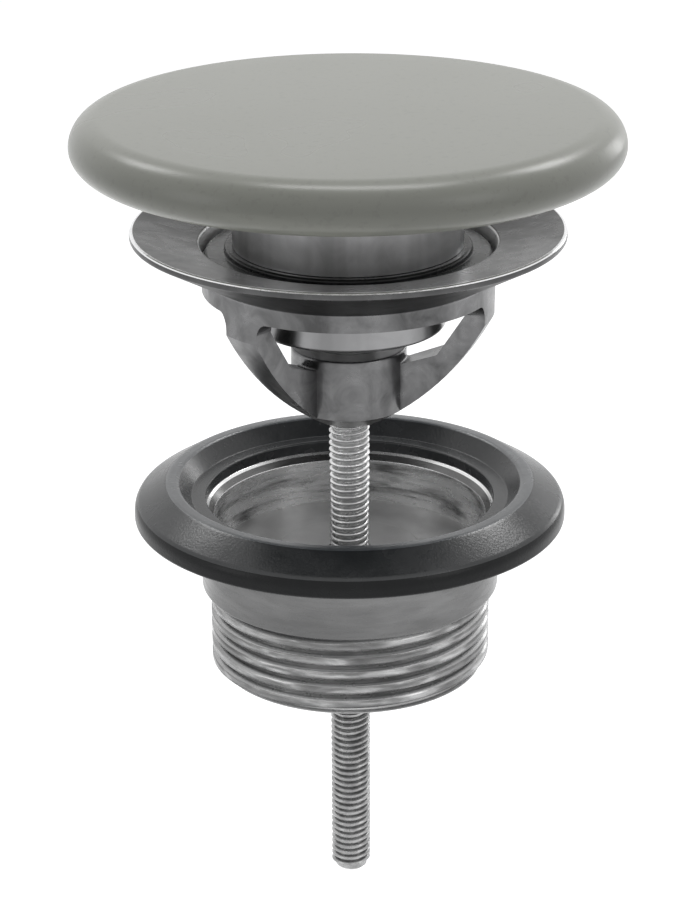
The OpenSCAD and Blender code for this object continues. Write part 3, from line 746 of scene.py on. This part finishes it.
def screw():
    top = HEAD_Z + HEAD_H
    obj = lathe("clamp_screw_blank", [
        (0, TIP_Z), (TIP_R, TIP_Z, 0.1), (SCREW_ROOT, TIP_Z + TIP_H), (SCREW_ROOT, HEAD_Z - SHANK_FOOT),
        (SCREW_R, HEAD_Z - SHANK_H), (SCREW_R, HEAD_Z, 0.1), (HEAD_R, HEAD_Z, 0.2), (HEAD_R, top, 0.5),
        (0, top)], segments=64)
    bm = bmesh.new()
    x, y = 8, SLOT_W / 2
    prism(bm, [(-x, -y), (x, -y), (x, y), (-x, y)], top - SLOT_DEPTH, top + 1)
    cut_from(obj, bm)
    return obj


finish(screw(), ZINC, "screw", "plated_steel", "clamp_screw")
screw_thread = thread("screw_thread", tree, sockets, TIP_Z + SCREW_START, Root_radius=SCREW_ROOT * MM,
                      Height=(SCREW_R - SCREW_ROOT) * MM, Crest_width=0.16 * MM, Root_width=0.95 * MM,
                      Turns=SCREW_TURNS, Length=SCREW_TURNS * SCREW_PITCH * MM, Steps_a_turn=64,
                      Run_out=0.004, Material=ZINC)
finish(screw_thread, ZINC, "screw", "plated_steel")


# The CAD nodes that stay, with their finishes
# The latch stem's plate has painted light
for node, mat in (("latch_housing", SATIN_HOUSING), ("latch_stem", LIT_SHADE), ("latch_guide", WHITE_PLASTIC),
                  ("index_rotor", WHITE_PLASTIC), ("bond_pad", ADHESIVE), ("latch_spring", STEEL),
                  ("stem_clip", STEEL), ("spring_washer", ZINC), ("screw_washer", ZINC), ("tail_nut", BRASS)):
    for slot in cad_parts[node].material_slots:
        slot.material = mat


# Studio: floor, world, lamps and camera, in metres and watts where no comment says otherwise

FLOOR_Z, FLOOR_HALF, FLOOR_GLOW = -0.16, 4, 0.74
SKY_TONE, SKY_STRENGTH = (0.95, 0.97, 1.0, 1), 0.22
WHITE = (1, 1, 1, 1)
MIDDLE, UPPER = (0, 0, -0.03), (0, 0, 0.02)
# Name, place, width and height, power, aim
LAMPS = (
    ("overhead", (0.03, 0.17, 0.72), (0.42, 0.16), 1.48, MIDDLE),
    ("right_box", (0.6, -0.45, 0.4), (0.3, 0.4), 0.46, MIDDLE),
    ("left_box", (-0.7, -0.35, 0.25), (0.3, 0.4), 0.34, MIDDLE),
    ("back_left", (-0.35, 0.36, 0.49), (0.16, 0.16), 0.5, MIDDLE),
    ("back_right", (0.35, 0.36, 0.49), (0.16, 0.16), 0.75, MIDDLE),
    ("low_right", (0.52, 0.62, 0.1), (0.14, 0.25), 0.35, UPPER))
# The camera as fitted to the photograph: millimetres, degrees, pixels, and the sensor's height in millimetres
CAMERA_PLACE, CAMERA_AIM, CAMERA_ROLL = (-0.355, -370.19, 117.95), (-0.355, 0, -29.516), -0.297
FOCAL_PIXELS, PHOTO_HEIGHT, SENSOR_HEIGHT = 2688, 918, 36


def backdrop_world():
    """White to the camera and to mirrors, and a soft light of its own to everything else."""
    world = bpy.data.worlds.new("studio")
    world.use_nodes = True
    bpy.context.scene.world = world
    tree = world.node_tree
    nodes, link = tree.nodes, tree.links.new
    nodes.clear()
    out = nodes.new("ShaderNodeOutputWorld")
    mix = nodes.new("ShaderNodeMixShader")
    path = nodes.new("ShaderNodeLightPath")
    soft = nodes.new("ShaderNodeBackground")
    soft.inputs["Color"].default_value = SKY_TONE
    soft.inputs["Strength"].default_value = SKY_STRENGTH
    white = nodes.new("ShaderNodeBackground")
    white.inputs["Color"].default_value = WHITE
    white.inputs["Strength"].default_value = 1.0
    seen = math_node(tree, "MAXIMUM", path.outputs["Is Camera Ray"], path.outputs["Is Transmission Ray"])
    shown = math_node(tree, "MAXIMUM", seen, path.outputs["Is Glossy Ray"])
    link(shown, mix.inputs[0])
    link(soft.outputs[0], mix.inputs[1])
    link(white.outputs[0], mix.inputs[2])
    link(mix.outputs[0], out.inputs["Surface"])


def floor():
    """A pale floor that glows to the camera and to mirrors, but casts no light on the piece."""
    bm = bmesh.new()
    bmesh.ops.create_grid(bm, x_segments=1, y_segments=1, size=FLOOR_HALF)
    mesh = bpy.data.meshes.new("studio_floor")
    bm.to_mesh(mesh)
    bm.free()
    mesh.transform(Matrix.Translation((0, 0, FLOOR_Z)))
    obj = make_object("studio_floor", mesh)
    mat = bpy.data.materials.new("pale_floor")
    mat.use_nodes = True
    nodes, link = mat.node_tree.nodes, mat.node_tree.links.new
    shader = nodes["Principled BSDF"]
    shader.inputs["Base Color"].default_value = (0.8, 0.8, 0.8, 1)
    shader.inputs["Roughness"].default_value = 0.9
    shader.inputs["Emission Color"].default_value = WHITE
    path = nodes.new("ShaderNodeLightPath")
    glow = nodes.new("ShaderNodeMapRange")
    glow.inputs["From Min"].default_value, glow.inputs["From Max"].default_value = 0, 1
    glow.inputs["To Min"].default_value, glow.inputs["To Max"].default_value = FLOOR_GLOW, 0.0
    link(path.outputs["Is Diffuse Ray"], glow.inputs["Value"])
    link(glow.outputs["Result"], shader.inputs["Emission Strength"])
    obj.data.materials.append(mat)


def lamp(name, place, size, power, aim):
    data = bpy.data.lights.new(name, "AREA")
    data.shape = "RECTANGLE"
    data.size, data.size_y = size
    data.energy = power
    obj = bpy.data.objects.new(name, data)
    bpy.context.scene.collection.objects.link(obj)
    obj.location = place
    obj.visible_camera = False
    obj.rotation_euler = (Vector(aim) - Vector(place)).to_track_quat("-Z", "Y").to_euler()


def camera():
    data = bpy.data.cameras.new("view")
    data.sensor_fit = "VERTICAL"
    data.sensor_height = SENSOR_HEIGHT
    data.lens = FOCAL_PIXELS * SENSOR_HEIGHT / PHOTO_HEIGHT
    data.clip_start, data.clip_end = 0.01, 20
    obj = bpy.data.objects.new("view", data)
    bpy.context.scene.collection.objects.link(obj)
    place = Vector(CAMERA_PLACE) * MM
    aim = (Vector(CAMERA_AIM) * MM - place).normalized()
    roll = math.radians(CAMERA_ROLL)
    right = Vector((1, 0, 0))
    up = right.cross(aim).normalized()
    x = right * math.cos(roll) + up * math.sin(roll)
    y = up * math.cos(roll) - right * math.sin(roll)
    turn = Matrix((x, y, -aim)).transposed()
    obj.matrix_world = Matrix.Translation(place) @ turn.to_4x4()
    bpy.context.scene.camera = obj


backdrop_world()
floor()
for row in LAMPS:
    lamp(*row)
camera()
bpy.context.scene.view_settings.view_transform = "Standard"
